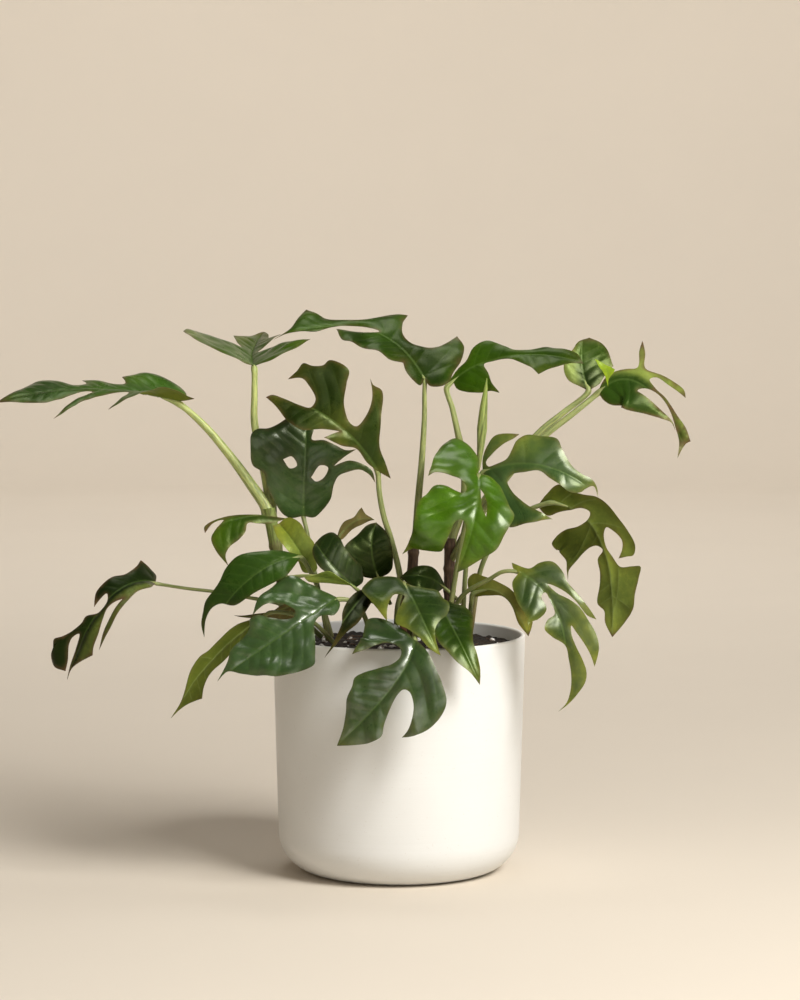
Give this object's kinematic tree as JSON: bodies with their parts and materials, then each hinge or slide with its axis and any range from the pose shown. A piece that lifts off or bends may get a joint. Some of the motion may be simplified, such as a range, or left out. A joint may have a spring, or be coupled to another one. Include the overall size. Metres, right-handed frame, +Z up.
{
  "type": "potted plant",
  "caption": "Potted climbing aroid with long-stalked, deeply lobed leaves spreading over a plain tapered pot with a rounded foot, for standing on a floor or shelf.",
  "frame": {"origin": "centre of the pot's flat foot, where it stands on a surface", "axes": "+Z up, -Y is the front of the plant, +X to the right of someone who looks at the front"},
  "size_m": [0.46, 0.2146, 0.3784],
  "materials": {
    "pot": "satin",
    "soil": "matte",
    "leaf": "satin",
    "young_leaf": "satin",
    "stalk": "satin",
    "stem": "matte"
  },
  "bodies": {
    "root": {"leaf_01": "leaf", "leaf_02": "leaf", "leaf_03": "leaf", "leaf_04": "leaf", "leaf_05": "leaf", "leaf_06": "leaf", "leaf_07": "young_leaf", "leaf_08": "leaf", "leaf_09": "leaf", "leaf_10": "leaf", "leaf_11": "leaf", "leaf_12": "leaf", "leaf_13": "leaf", "leaf_14": "leaf", "leaf_15": "leaf", "leaf_16": "leaf", "leaf_17": "leaf", "leaf_18": "leaf", "leaf_19": "leaf", "leaf_20": "leaf", "leaf_21": "leaf", "leaf_22": "leaf", "leaf_23": "leaf", "leaf_24": "leaf", "leaf_25": "leaf", "leaf_26": "leaf", "leaf_27": "leaf", "leaf_28": "leaf", "leaf_29": "leaf", "new_leaf": "young_leaf", "pot": "pot", "potting_soil": "soil", "sheath_left": "young_leaf", "stalk_01": "stalk", "stalk_02": "stalk", "stalk_03": "stalk", "stalk_04": "stalk", "stalk_05": "stalk", "stalk_06": "stalk", "stalk_08": "stalk", "stalk_09": "stalk", "stalk_11": "stalk", "stalk_12": "stalk", "stalk_13": "stalk", "stalk_14": "stalk", "stalk_15": "stalk", "stalk_16": "stalk", "stalk_17": "stalk", "stalk_18": "stalk", "stalk_19": "stalk", "stalk_20": "stalk", "stalk_21": "stalk", "stalk_22": "stalk", "stem_left": "stem", "stem_middle": "stem", "stem_right": "stem"}
  },
  "joints": []
}
